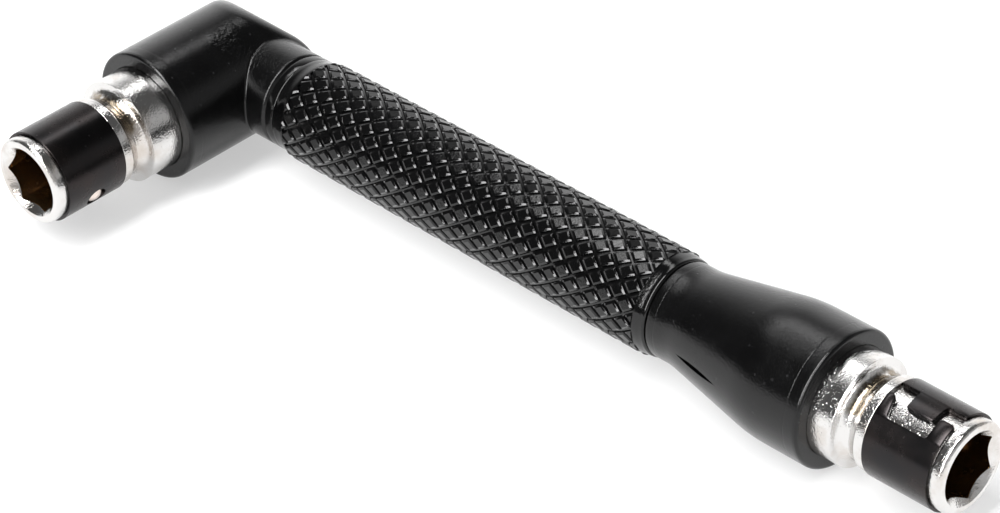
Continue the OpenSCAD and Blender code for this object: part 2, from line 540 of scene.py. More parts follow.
class Effect:
    """A shader group that several finishes share, built the first time it is used."""

    name: str
    inputs: Mapping[str, float]
    outputs: tuple[str, ...]

    @classmethod
    def group(cls) -> Tree:
        """Gives the group, which has a Place input and the numbers in inputs.

        Returns:
            The group, built the first time.
        """
        if cls.name in bpy.data.node_groups:
            return bpy.data.node_groups[cls.name]
        group = bpy.data.node_groups.new(cls.name, "ShaderNodeTree")
        group.interface.new_socket("Place", in_out="INPUT", socket_type="NodeSocketVector")
        for key, value in cls.inputs.items():
            socket = group.interface.new_socket(key, in_out="INPUT", socket_type="NodeSocketFloat")
            socket.default_value = value
        for key in cls.outputs:
            group.interface.new_socket(key, in_out="OUTPUT", socket_type="NodeSocketFloat")
        n = Nodes(group)
        cls.lay(n, n.add("NodeGroupInput").outputs, n.add("NodeGroupOutput").inputs)
        return group

    @classmethod
    def lay(cls, n: Nodes, given: Sockets, out: Sockets) -> None:
        """Lays the group's nodes between what it is given and what it puts out."""
        raise NotImplementedError

    @classmethod
    def on(cls, n: Nodes, where: Socket, **values: float) -> Sockets:
        """Places the group in a material.

        Args:
            n: The material's node helper.
            where: The place that the group reads.
            values: Its numbers there.

        Returns:
            What it puts out.
        """
        inputs = {"Place": where, **values}
        return n.add("ShaderNodeGroup", inputs, node_tree=cls.group()).outputs


class Scuffs(Effect):
    """Hairline scratches in several directions, in patches."""

    name = "hairline_scuffs"
    inputs = {"Density": 0.5, "Scale": 1.0}
    outputs = ("Lines",)
    turns: tuple[Triple, ...] = ((12, 20, 35), (40, -30, -50), (-20, 65, 80))
    stretches: Triple = (9.0, 11.0, 8.0)
    seeds: Triple = (1.0, 5.0, 9.0)
    line_size: float = 220.0
    line_edge: float = 0.012
    patch_size: float = 170.0
    patch_least: float = 0.78
    patch_reach: float = 0.3
    patch_edge: float = 8.0

    @classmethod
    def lay(cls, n: Nodes, given: Sockets, out: Sockets) -> None:
        """Lays thin lines along stretched noise, one direction after the other.

        Args:
            n: The group's node helper.
            given: The group's inputs.
            out: The group's outputs.
        """
        total: Value = 0.0
        for turn, stretch, seed in zip(cls.turns, cls.stretches, cls.seeds):
            shifted = n.place(given["Place"], turn=turn, shift=(seed, seed * 0.7, -seed))
            long = n.place(shifted, scale=(stretch, 1.0, stretch * 0.6))
            lines = n.noise(long, cls.line_size, detail=2.0, rough=0.4)
            thin = n.ramp(n.apart(lines, 0.5), (0.0, cls.line_edge), (1.0, 0.0))
            least = n.less(cls.patch_least, n.times(given["Density"], cls.patch_reach))
            patch = n.less(n.noise(shifted, cls.patch_size, detail=3.0), least)
            total = n.larger(total, n.times(thin, n.times(patch, cls.patch_edge, clamp=True)))
        n.link(n.times(total, given["Scale"], clamp=True), out["Lines"])


class Pits(Effect):
    """Small pits and specks, scattered unevenly, and a cloud for an uneven gloss."""

    name = "pits_and_specks"
    inputs = {"Size": 900.0, "Amount": 0.5}
    outputs = ("Pits", "Cloud")
    pit_edge: Span = (0.1, 0.26)
    pit_share: float = 0.25
    cloud_size: float = 260.0

    @classmethod
    def lay(cls, n: Nodes, given: Sockets, out: Sockets) -> None:
        """Lays a dot in some cells of a cell texture, and a noise for the cloud.

        Args:
            n: The group's node helper.
            given: The group's inputs.
            out: The group's outputs.
        """
        cell = n.add("ShaderNodeTexVoronoi", {"Vector": given["Place"], "Scale": given["Size"]}).outputs
        spot = n.ramp(cell["Distance"], cls.pit_edge, (1.0, 0.0))
        chance = n.add("ShaderNodeSeparateColor", {"Color": cell["Color"]}).outputs[0]
        few = n.math("LESS_THAN", chance, n.times(given["Amount"], cls.pit_share))
        n.link(n.times(spot, few), out["Pits"])
        n.link(n.noise(given["Place"], cls.cloud_size, detail=5.0), out["Cloud"])


class Patch(Effect):
    """A ragged patch round one place."""

    name = "ragged_patch"
    inputs = {"X": 0.0, "Y": 0.0, "Z": 0.0, "Reach": 3 * MM}
    outputs = ("Mask",)
    edge: Span = (0.5, 1.1)
    ragged_size: float = 420.0
    ragged: float = 1.6

    @classmethod
    def lay(cls, n: Nodes, given: Sockets, out: Sockets) -> None:
        """Lays a mask by the distance from the place, with noise on its edge.

        Args:
            n: The group's node helper.
            given: The group's inputs.
            out: The group's outputs.
        """
        centre = n.add("ShaderNodeCombineXYZ", {key: given[key] for key in ("X", "Y", "Z")}).outputs[0]
        ends = {0: given["Place"], 1: centre}
        off = n.add("ShaderNodeVectorMath", ends, operation="DISTANCE").outputs["Value"]
        share = n.math("DIVIDE", off, given["Reach"])
        ragged = n.less(n.noise(given["Place"], cls.ragged_size), 0.5)
        n.link(n.ramp(n.summed((share, 1), (ragged, cls.ragged)), cls.edge, (1.0, 0.0)), out["Mask"])


class Ring(Effect):
    """A line round a piece at one place along X, strongest in its middle."""

    name = "witness_line"
    inputs = {"At": 0.0, "Width": 0.12 * MM}
    outputs = ("Line",)

    @classmethod
    def lay(cls, n: Nodes, given: Sockets, out: Sockets) -> None:
        """Lays the line by the distance from its place."""
        off = n.math("DIVIDE", n.apart(n.axes(given["Place"])["X"], given["At"]), given["Width"])
        n.link(n.less(1.0, off, clamp=True), out["Line"])


class TurningMarks(Effect):
    """Fine turning marks round X, and an uneven stain."""

    name = "turning_marks"
    inputs = {"Fineness": 9000.0}
    outputs = ("Marks", "Stain")
    stain_size: float = 190.0

    @classmethod
    def lay(cls, n: Nodes, given: Sockets, out: Sockets) -> None:
        """Lays a noise that changes along X alone, and one that changes all ways.

        Args:
            n: The group's node helper.
            given: The group's inputs.
            out: The group's outputs.
        """
        along = n.add("ShaderNodeCombineXYZ", {"X": n.axes(given["Place"])["X"]}).outputs[0]
        n.link(n.noise(along, given["Fineness"], detail=3.0, rough=0.7), out["Marks"])
        n.link(n.noise(given["Place"], cls.stain_size, detail=5.0, rough=0.6), out["Stain"])


@dataclass(frozen=True)
class Finish:
    """A finish that a piece can wear."""

    name: str

    def material(self) -> bpy.types.Material:
        """Gives the finish's material.

        Returns:
            The material, built the first time.
        """
        if self.name in bpy.data.materials:
            return bpy.data.materials[self.name]
        made = bpy.data.materials.new(self.name)
        made.use_nodes = True
        n = Nodes(made.node_tree)
        where = n.add("ShaderNodeTexCoord").outputs["Object"]
        self.lay(n, made.node_tree.nodes["Principled BSDF"], where)
        return made

    def lay(self, n: Nodes, shader: Node, where: Socket) -> None:
        """Lays the finish's nodes from a place on the piece to the shader."""
        raise NotImplementedError


@dataclass(frozen=True)
class MouldedBlack(Finish):
    """Satin black moulded plastic with scuffs, specks, dents and faint mould lines."""

    arm: Arm = Arm.LONG
    colour: Colour = (0.0011, 0.0011, 0.0012)
    worn_colour: Colour = (0.03, 0.03, 0.032)
    cloud_light: float = 1.5
    cloud_edge: Span = (0.35, 0.7)
    gloss_edge: Span = (0.3, 0.72)
    gloss: Span = (0.14, 0.23)
    shine: float = 0.38
    scuffs: float = 0.55
    speck_size: float = 1500.0
    specks: float = 0.5
    wear_colour: float = 0.6
    wear_rough: float = 0.2
    wear_height: float = -0.45
    grain_size: float = 4600.0
    grain: float = 1.1
    dented_at: Triple = (0.0, 0.0, 0.0)
    dented_reach: float = 0.0
    dented_rough: float = -0.11
    dent_size: float = 2500.0
    dents: float = 6.0
    turning_size: float = 3800.0
    turning: float = 0.0
    lines: tuple[float, ...] = ()
    line_width: float = 0.09 * MM
    line_height: float = -0.6
    depth: float = 0.02 * MM

    def lay(self, n: Nodes, shader: Node, where: Socket) -> None:
        """Lays the colour, the uneven gloss, and the bump of scuffs, dents and lines.

        Args:
            n: The material's node helper.
            shader: The material's shader.
            where: The place on the piece.
        """
        scuffs = Scuffs.on(n, where, Density=self.scuffs, Scale=0.9)["Lines"]
        pits = Pits.on(n, where, Size=self.speck_size, Amount=0.6)
        wear = n.larger(scuffs, n.times(pits["Pits"], self.specks))
        lighter = tuple(self.cloud_light * c for c in self.colour)
        colour = n.mix(n.ramp(pits["Cloud"], self.cloud_edge), self.colour, lighter)
        rough = [(n.ramp(pits["Cloud"], self.gloss_edge, self.gloss), 1), (wear, self.wear_rough)]
        height = [(n.noise(where, self.grain_size, detail=3.0, rough=0.6), self.grain)]
        if self.dented_reach:
            spot = dict(zip("XYZ", self.dented_at))
            mask = Patch.on(n, where, Reach=self.dented_reach, **spot)["Mask"]
            rough.append((mask, self.dented_rough))
            height.append((n.times(n.noise(where, self.dent_size, detail=2.0), mask), self.dents))
        height.append((wear, self.wear_height))
        along = n.along(where, self.arm)
        height.append((TurningMarks.on(n, along, Fineness=self.turning_size)["Marks"], self.turning))
        for at in self.lines:
            height.append((Ring.on(n, along, At=at, Width=self.line_width)["Line"], self.line_height))
        n.fill(shader, {
            "Base Color": n.mix(n.times(wear, self.wear_colour), colour, self.worn_colour),
            "Roughness": n.summed(*rough), "Specular IOR Level": self.shine,
        })
        n.bump(shader, n.summed(*height), self.depth)


@dataclass(frozen=True)
class KnurlBlack(Finish):
    """Glossy black moulding of the grip, with a fine grain and light rubbing."""

    colour: Colour = (0.0013, 0.0013, 0.0014)
    rubbed: Colour = (0.008, 0.008, 0.0085)
    gloss_edge: Span = (0.3, 0.7)
    gloss: Span = (0.07, 0.14)
    shine: float = 0.45
    scuffs: float = 0.45
    speck_size: float = 2600.0
    specks: float = 0.35
    wear_colour: float = 0.5
    wear_height: float = -0.25
    grain_size: float = 3600.0
    grain: float = 0.5
    depth: float = 0.02 * MM

    def lay(self, n: Nodes, shader: Node, where: Socket) -> None:
        """Lays the colour, the gloss and a fine grain.

        Args:
            n: The material's node helper.
            shader: The material's shader.
            where: The place on the piece.
        """
        pits = Pits.on(n, where, Size=self.speck_size, Amount=0.5)
        scuffs = Scuffs.on(n, where, Density=self.scuffs, Scale=0.7)["Lines"]
        wear = n.larger(scuffs, n.times(pits["Pits"], self.specks))
        n.fill(shader, {
            "Base Color": n.mix(n.times(wear, self.wear_colour), self.colour, self.rubbed),
            "Roughness": n.ramp(pits["Cloud"], self.gloss_edge, self.gloss),
            "Specular IOR Level": self.shine,
        })
        grain = n.noise(where, self.grain_size, detail=3.0, rough=0.6)
        n.bump(shader, n.summed((grain, self.grain), (wear, self.wear_height)), self.depth)


@dataclass(frozen=True)
class BrightChrome(Finish):
    """Bright chrome over turned steel, with a brown film in places, and a dark brown tint painted on the
    waist's upper side as a painted dark reflection.
    """

    arm: Arm = Arm.LONG
    colour: Colour = (0.71, 0.70, 0.69)
    film: Colour = (0.42, 0.33, 0.25)
    film_edge: Span = (0.5, 0.74)
    film_share: Span = (0.0, 0.55)
    # Painted reflection: a dark brown tint on the waist, kept above a height so that only its upper side
    # takes it, stands in for the dark reflection there.
    waist_painted_reflection: Colour = (0.22, 0.17, 0.11)
    waist_painted_reflection_size: float = 900.0
    waist_painted_reflection_edge: Span = (0.22, 0.4)
    waist_painted_reflection_share: Span = (0.0, 0.9)
    waist_painted_reflection_above: Span = (ELBOW_CENTRE.z + MM, ELBOW_CENTRE.z + 3 * MM)
    waist_at: float = 0.0
    waist_reach: float = 1.6 * MM
    gloss_edge: Span = (0.3, 0.7)
    gloss: Span = (0.045, 0.11)
    scuffs: float = 0.35
    scuff_rough: float = 0.15
    scuff_height: float = -0.4
    turning_size: float = 8000.0
    turning: float = 0.08
    waves_size: float = 1500.0
    waves: float = 1.5
    grain_size: float = 5600.0
    grain: float = 2.6
    ragged_size: float = 3600.0
    ragged_edge: Span = (0.42, 0.6)
    ragged: Span = (0.6, 3.4)
    pit_size: float = 3600.0
    pit_height: float = -0.9
    depth: float = 0.01 * MM

    def lay(self, n: Nodes, shader: Node, where: Socket) -> None:
        """Lays the metal, its film, the painted dark reflection on the waist's upper side, and its uneven
        surface.

        Args:
            n: The material's node helper.
            shader: The material's shader.
            where: The place on the piece.
        """
        along = n.along(where, self.arm)
        turning = TurningMarks.on(n, along, Fineness=self.turning_size)
        scuffs = Scuffs.on(n, where, Density=self.scuffs, Scale=0.8)["Lines"]
        film = n.ramp(turning["Stain"], self.film_edge, self.film_share)
        # Painted reflection: the waist's band, broken by noise and kept to its upper side, mixes in the dark
        # brown tint as a painted dark reflection.
        near = Ring.on(n, along, At=self.waist_at, Width=self.waist_reach)["Line"]
        near = n.times(near, n.noise(where, self.waist_painted_reflection_size, detail=4.0))
        near = n.times(near, n.ramp(n.axes(where)["Z"], self.waist_painted_reflection_above))
        waist_painted_reflection_mask = n.ramp(near, self.waist_painted_reflection_edge, self.waist_painted_reflection_share)
        gloss = n.ramp(turning["Stain"], self.gloss_edge, self.gloss)
        n.fill(shader, {
            "Base Color": n.mix(waist_painted_reflection_mask, n.mix(film, self.colour, self.film), self.waist_painted_reflection),
            "Roughness": n.summed((gloss, 1), (scuffs, self.scuff_rough)), "Metallic": 1.0,
        })
        ragged = n.ramp(turning["Stain"], self.ragged_edge, self.ragged)
        pits = Pits.on(n, where, Size=self.pit_size, Amount=2.0)["Pits"]
        height = n.summed(
            (n.noise(where, self.waves_size, detail=2.0), self.waves),
            (n.noise(where, self.grain_size, detail=2.0), self.grain),
            (n.times(n.noise(where, self.ragged_size, detail=3.0), ragged), 1),
            (turning["Marks"], self.turning), (scuffs, self.scuff_height), (pits, self.pit_height),
        )
        n.bump(shader, height, self.depth)


@dataclass(frozen=True)
class BoreSteel(Finish):
    """Bare steel inside the hexagon bore, darkened and slightly brown."""

    colour: Colour = (0.78, 0.54, 0.27)
    dark: Colour = (0.2, 0.12, 0.06)
    cloud_size: float = 520.0
    cloud_edge: Span = (0.35, 0.65)
    gloss_edge: Span = (0.3, 0.7)
    gloss: Span = (0.14, 0.3)
    grain_size: float = 3500.0
    depth: float = 0.01 * MM

    def lay(self, n: Nodes, shader: Node, where: Socket) -> None:
        """Lays the metal, its dark patches and its grain.

        Args:
            n: The material's node helper.
            shader: The material's shader.
            where: The place on the piece.
        """
        cloud = n.noise(where, self.cloud_size, detail=5.0, rough=0.65)
        n.fill(shader, {
            "Base Color": n.mix(n.ramp(cloud, self.cloud_edge), self.colour, self.dark),
            "Roughness": n.ramp(cloud, self.gloss_edge, self.gloss), "Metallic": 1.0,
        })
        n.bump(shader, n.noise(where, self.grain_size, detail=3.0), self.depth)


@dataclass(frozen=True)
class SpringBlack(Finish):
    """Blackened spring steel of the clips, with a violet brown cast."""

    arm: Arm = Arm.LONG
    colour: Colour = (0.031, 0.030, 0.031)
    cast: Colour = (0.042, 0.035, 0.034)
    cast_edge: Span = (0.4, 0.66)
    gloss_edge: Span = (0.3, 0.7)
    gloss: Span = (0.2, 0.32)
    pit_size: float = 1700.0
    pit_rough: float = 0.2
    turning_size: float = 5200.0
    turning: float = 0.06
    waves_size: float = 1300.0
    waves: float = 0.9
    depth: float = 0.006 * MM

    def lay(self, n: Nodes, shader: Node, where: Socket) -> None:
        """Lays the dark metal, its cast, its pits and its fine rolling marks.

        Args:
            n: The material's node helper.
            shader: The material's shader.
            where: The place on the piece.
        """
        turning = TurningMarks.on(n, n.along(where, self.arm), Fineness=self.turning_size)
        pits = Pits.on(n, where, Size=self.pit_size, Amount=0.5)["Pits"]
        gloss = n.ramp(turning["Stain"], self.gloss_edge, self.gloss)
        n.fill(shader, {
            "Base Color": n.mix(n.ramp(turning["Stain"], self.cast_edge), self.colour, self.cast),
            "Roughness": n.summed((gloss, 1), (pits, self.pit_rough)), "Metallic": 1.0,
        })
        waves = n.noise(where, self.waves_size, detail=3.0)
        height = n.summed((turning["Marks"], self.turning), (pits, -1), (waves, self.waves))
        n.bump(shader, height, self.depth)


@dataclass(frozen=True)
class PlainSteel(Finish):
    """Ground steel of the balls and the hidden bar."""

    colour: Colour = (0.62, 0.61, 0.6)
    rough: float = 0.2
    dark_share: float = 0.8
    cloud_size: float = 900.0
    cloud_edge: Span = (0.4, 0.7)
    gloss_edge: Span = (0.3, 0.7)
    gloss_shares: Span = (0.7, 1.3)
    grain_size: float = 6000.0
    depth: float = 0.002 * MM

    def lay(self, n: Nodes, shader: Node, where: Socket) -> None:
        """Lays the metal with a slightly uneven polish.

        Args:
            n: The material's node helper.
            shader: The material's shader.
            where: The place on the piece.
        """
        cloud = n.noise(where, self.cloud_size, detail=4.0)
        darker = tuple(self.dark_share * c for c in self.colour)
        low, high = self.gloss_shares
        n.fill(shader, {
            "Base Color": n.mix(n.ramp(cloud, self.cloud_edge), self.colour, darker),
            "Roughness": n.ramp(cloud, self.gloss_edge, (self.rough * low, self.rough * high)),
            "Metallic": 1.0,
        })
        n.bump(shader, n.noise(where, self.grain_size, detail=2.0), self.depth)


@dataclass(frozen=True)
class PaleFloor(Finish):
    """Pale paper with a faint grain, lit up where it is seen, that keeps a light shadow."""

    pale: Colour = (0.93, 0.93, 0.93)
    paler: Colour = (0.96, 0.96, 0.96)
    grain_size: float = 400.0
    rough: float = 0.9
    shine: float = 0.1
    white: float = 0.5

    def lay(self, n: Nodes, shader: Node, where: Socket) -> None:
        """Lays the paper, and mixes it with plain white where it is seen.

        Args:
            n: The material's node helper.
            shader: The material's shader.
            where: The place on the floor.
        """
        grain = n.noise(where, self.grain_size, detail=3.0)
        n.fill(shader, {
            "Base Color": n.mix(grain, self.pale, self.paler),
            "Roughness": self.rough, "Specular IOR Level": self.shine,
        })
        white = n.add("ShaderNodeEmission", {"Color": (1, 1, 1, 1)}).outputs[0]
        share = n.times(self.seen(n), self.white)
        blend = n.add("ShaderNodeMixShader", {0: share, 1: shader.outputs["BSDF"], 2: white})
        n.link(blend.outputs[0], n.tree.nodes["Material Output"].inputs["Surface"])

    @staticmethod
    def seen(n: Nodes) -> Socket:
        """Marks what the camera, a reflection or a view through glass meets.

        Args:
            n: The material's node helper.

        Returns:
            1 for such a ray, or else 0.
        """
        path = n.add("ShaderNodeLightPath").outputs
        near = n.larger(path["Is Camera Ray"], path["Is Glossy Ray"])
        return n.larger(near, path["Is Transmission Ray"])


@dataclass
class Elbow:
    """The moulded elbow: a short barrel with a rounded back, and the neck for the grip."""

    barrel_radius: float = 7.4 * MM
    barrel_end: float = 13.0 * MM
    back_radius: float = 5.9 * MM
    back_start: float = 1.0 * MM
    back_round: float = 1.2 * MM
    end_round: float = 0.42 * MM
    neck_radius: float = 5.3 * MM
    neck_end: float = 10.3 * MM
    seam_depth: float = 0.3 * MM
    seam_round: float = 0.14 * MM
    fillet: float = 0.2 * MM
    recess_radius: float = 5.83 * MM
    recess_depth: float = 0.35 * MM
    grain: float = 0.14 * MM
    rounds: int = 14
    stride: float = 0.9
    least_slope: float = 0.25
    lines: tuple[float, ...] = (11.4 * MM, 12.68 * MM)
    dented_at: Triple = (3.1 * MM, -3.3 * MM, 6.7 * MM)
    dented_reach: float = 1.9 * MM
    turning: float = 0.3

    def distance(self, at: np.ndarray) -> np.ndarray:
        """Gives how far points lie outside the elbow's rounded form.

        Args:
            at: Rows of points, from the elbow's centre.

        Returns:
            A distance for each point, below zero inside.
        """
        x, y, z = at[:, 0], at[:, 1], np.abs(at[:, 2])
        slope = math.atan2(self.barrel_radius, self.back_start) - math.acos(
            self.back_radius / math.hypot(self.barrel_radius, self.back_start)
        )
        flat = y * math.cos(slope) + z * math.sin(slope) - self.back_radius
        side = np.where(np.arctan2(z, y) < slope, np.hypot(y, z) - self.back_radius, flat)
        barrel = soft_max(np.hypot(x, z) - self.barrel_radius, side, self.back_round)
        barrel = soft_max(barrel, -y - self.barrel_end, self.end_round)
        hole = np.maximum(
            np.hypot(x, z) - self.recess_radius, y + self.barrel_end - self.recess_depth
        )
        radius = np.hypot(y, z) - self.neck_radius
        tip = (x - self.neck_end + self.seam_depth + radius) / math.sqrt(2)
        neck = soft_max(soft_max(radius, tip, self.seam_round), x - self.neck_end, self.seam_round / 4)
        whole = soft_min(barrel, np.maximum(neck, -x), self.fillet)
        return soft_max(whole, -hole, self.seam_round / 2)

    def rough_form(self) -> Piece:
        """Joins plain rods into the elbow's rough form.

        Returns:
            The rough form, evenly meshed.
        """
        body = Bench.rod(self.barrel_radius, -self.back_radius, self.barrel_end)
        neck = Bench.rod(self.neck_radius, 0, self.neck_end)
        recess = Bench.rod(self.recess_radius, self.barrel_end - self.recess_depth, self.barrel_end * 1.2)
        for rod, axis in ((body, "X"), (neck, "Y"), (recess, "X")):
            rod.data.transform(Matrix.Rotation(math.radians(90), 4, axis))
        Bench.combine(body, neck, CutKind.ADD)
        Bench.combine(body, recess, CutKind.REMOVE)
        Bench.modify(body, "REMESH", mode="VOXEL", voxel_size=self.grain)
        return body

    def slope(self, points: np.ndarray) -> np.ndarray:
        """Gives the direction in which the distance grows fastest at each point.

        Args:
            points: Rows of points, from the elbow's centre.

        Returns:
            A row for each point, about one long.
        """
        step = self.grain / 20
        return np.stack([
            (self.distance(points + step * axis) - self.distance(points - step * axis)) / (2 * step)
            for axis in np.eye(3)
        ], axis=1)

    def build(self) -> Piece:
        """Builds the elbow: lays its rough form on to the rounded one, and dresses it.

        Returns:
            The finished elbow.
        """
        piece = self.rough_form()
        points = Bench.points(piece)
        for _ in range(self.rounds):
            slope = self.slope(points)
            length = np.maximum((slope ** 2).sum(axis=1), self.least_slope)
            points = points - self.stride * slope * (self.distance(points) / length)[:, None]
        Bench.set_points(piece, points)
        piece = Bench.named(piece, "elbow_shell")
        Bench.shade(piece, 180)
        slope = self.slope(points)
        slope /= np.maximum(np.linalg.norm(slope, axis=1), 1e-6)[:, None]
        piece.data.normals_split_custom_set_from_vertices(slope.tolist())
        piece.data.transform(Matrix.Translation(ELBOW_CENTRE))
        finish = MouldedBlack(
            "elbow_black", arm=Arm.SHORT, turning=self.turning, dented_reach=self.dented_reach,
            dented_at=tuple(ELBOW_CENTRE + Vector(self.dented_at)),
            lines=tuple(map(Arm.SHORT.station, self.lines)),
        )
        piece.data.materials.append(finish.material())
        return piece


@dataclass
class Moulding:
    """What the grip and the nose share: V-groove seams and ends that close round the bar."""

    seam_depth: float = 0.3 * MM
    lip_turn: float = 60.0
    lip_steps: int = 5
    hidden_radius: float = 3.6 * MM

    def lip(self, radius: float, at: float, near: bool) -> Outline:
        """Gives the outline of an end at a seam: its hidden face and its rounded lip.

        Args:
            radius: The piece's radius beside the lip.
            at: Where the end is.
            near: Whether it is the end that lies nearer to the elbow.

        Returns:
            The points, from the hidden face outward at a near end, and inward at a far one.
        """
        inner = radius - self.seam_depth
        middle = at + self.seam_depth if near else at - self.seam_depth
        start, end = (-self.lip_turn, 0) if near else (0, self.lip_turn)
        curve = Bench.arc((inner, middle), self.seam_depth, start, end, self.lip_steps)
        if near:
            return [(self.hidden_radius, at), (inner, at)] + curve
        return curve + [(inner, at), (self.hidden_radius, at)]


@dataclass
class Grip(Moulding):
    """The grip: plain bands at its ends and a knurl of raised diamond pads between."""

    start: float = 10.3 * MM
    end: float = 65.2 * MM
    band_radius: float = 5.3 * MM
    end_radius: float = 5.36 * MM
    pad_radius: float = 5.65 * MM
    groove_depth: float = 0.3 * MM
    core_gap: float = 0.1 * MM
    core_step: float = 0.02 * MM
    knurl_start: float = 13.35 * MM
    knurl_end: float = 63.75 * MM
    shoulder: float = 5.52 * MM
    witness_at: float = 11.56 * MM
    witness_reach: float = 0.06 * MM
    witness_depth: float = 0.02 * MM
    rise: tuple[Span, ...] = (
        (5.3 * MM, 12.0 * MM), (5.33 * MM, 12.3 * MM), (5.4 * MM, 12.65 * MM), (5.47 * MM, 12.95 * MM),
        (5.52 * MM, 13.2 * MM),
    )
    fall: tuple[Span, ...] = ((5.48 * MM, 64.0 * MM), (5.42 * MM, 64.5 * MM), (5.36 * MM, 64.75 * MM))
    starts: int = 17
    pitch: float = 2.84 * MM
    pad_station: float = 17.15 * MM
    pad_turn: float = 136.5
    pad_shares: Triple = (0.27, 0.39, 0.45)
    shoulder_drop: float = 0.105 * MM
    weld: float = 0.004 * MM
    skirt: float = 0.88
    creases: Span = (35.0, 20.0)

    @property
    def pad_width(self) -> float:
        """Gives how far one pad is from the next, round the grip."""
        return 2 * math.pi * self.pad_radius / self.starts

    def bands(self) -> Piece:
        """Turns the plain bands at both ends, with the core that the pads stand on.

        Returns:
            The bands and the core, as one solid.
        """
        core = self.pad_radius - self.groove_depth - self.core_gap
        outline = self.lip(self.band_radius, self.start, near=True)
        outline += [
            (self.band_radius, self.witness_at - self.witness_reach),
            (self.band_radius - self.witness_depth, self.witness_at),
            (self.band_radius, self.witness_at + self.witness_reach),
        ]
        outline += self.rise
        outline += [
            (self.shoulder, self.knurl_start), (core, self.knurl_start + self.core_step),
            (core, self.knurl_end - self.core_step), (self.shoulder, self.knurl_end),
        ]
        outline += self.fall
        outline += self.lip(self.end_radius, self.end, near=False)
        return Bench.turned("grip_bands", outline)

    def pad_cell(self) -> Piece:
        """Models one diamond of the knurl: a pad with its half of the grooves around it.

        Returns:
            The flat diamond, X along the grip, Y round it and Z up from the grooves.
        """
        stops = np.array([-0.5, *(-share for share in reversed(self.pad_shares)), *self.pad_shares, 0.5])
        levels = np.array([0.0, 0.0, 1.0, 2.0, 2.0, 1.0, 0.0, 0.0])
        runs = len(stops) - 1
        Bench.deselect()
        bpy.ops.mesh.primitive_grid_add(x_subdivisions=runs, y_subdivisions=runs, size=1.0)
        cell = Bench.named(bpy.context.object, "pad_cell")
        column = np.rint((Bench.points(cell)[:, :2] + 0.5) * runs).astype(int)
        a, b = stops[column[:, 0]], stops[column[:, 1]]
        level = np.minimum(levels[column[:, 0]], levels[column[:, 1]])
        high = self.groove_depth
        heights = np.interp(level, [0, 1, 2], [0, high - self.shoulder_drop, high])
        points = np.stack([(a + b) * self.pitch / 2, (a - b) * self.pad_width / 2, heights], axis=1)
        Bench.set_points(cell, points)
        return cell

    @staticmethod
    def repeat(piece: Piece, count: int, step: Triple) -> None:
        """Repeats a piece a number of times along a step."""
        Bench.modify(
            piece, "ARRAY", count=count, use_relative_offset=False, use_constant_offset=True,
            constant_offset_displace=step,
        )

    def sheet(self) -> Piece:
        """Lays the diamonds side by side in a flat sheet.

        Returns:
            The sheet, long enough for the whole knurl and once round the grip.
        """
        cell = self.pad_cell()
        Bench.pick(cell)
        bpy.ops.object.duplicate()
        other = bpy.context.object
        other.data.transform(Matrix.Translation((self.pitch / 2, self.pad_width / 2, 0)))
        Bench.pick(cell)
        other.select_set(True)
        bpy.ops.object.join()
        self.repeat(cell, self.starts, (0, self.pad_width, 0))
        count = int((self.knurl_end - self.knurl_start) / self.pitch) + 3
        self.repeat(cell, count, (self.pitch, 0, 0))
        return cell

    def knurl(self) -> Piece:
        """Wraps the sheet of diamonds round the grip, trims it and turns its ends down.

        Returns:
            The knurl, with its lower edges inside the core.
        """
        piece = self.sheet()
        points = Bench.points(piece)
        back = math.ceil((self.pad_station - self.knurl_start) / self.pitch) + 1
        station = points[:, 0] + self.pad_station - back * self.pitch
        turn = points[:, 1] / self.pad_radius + math.radians(self.pad_turn)
        radius = self.pad_radius - self.groove_depth + points[:, 2]
        Bench.set_points(piece, Bench.wrapped(turn, radius, station))
        with Bench.editing():
            bpy.ops.mesh.remove_doubles(threshold=self.weld)
            for at, side in ((self.knurl_start, (0, 0, -1)), (self.knurl_end, (0, 0, 1))):
                bpy.ops.mesh.select_all(action="SELECT")
                bpy.ops.mesh.bisect(plane_co=(0, 0, at), plane_no=side, clear_outer=True, threshold=1e-7)
                bpy.ops.mesh.extrude_region_move(TRANSFORM_OT_translate={"value": (0, 0, 0)})
                bpy.ops.transform.resize(value=(self.skirt, self.skirt, 1), center_override=(0, 0, at))
            Bench.face_outward()
        return Bench.named(piece, "grip_knurl")

    def build(self) -> list[Piece]:
        """Builds the bands and the knurl and dresses them.

        Returns:
            The bands, then the knurl.
        """
        pieces = [self.bands(), self.knurl()]
        finish = KnurlBlack("knurl_black")
        for piece, crease in zip(pieces, self.creases):
            piece.data.transform(Arm.LONG.matrix())
            Bench.shade(piece, crease)
            piece.data.materials.append(finish.material())
        return pieces


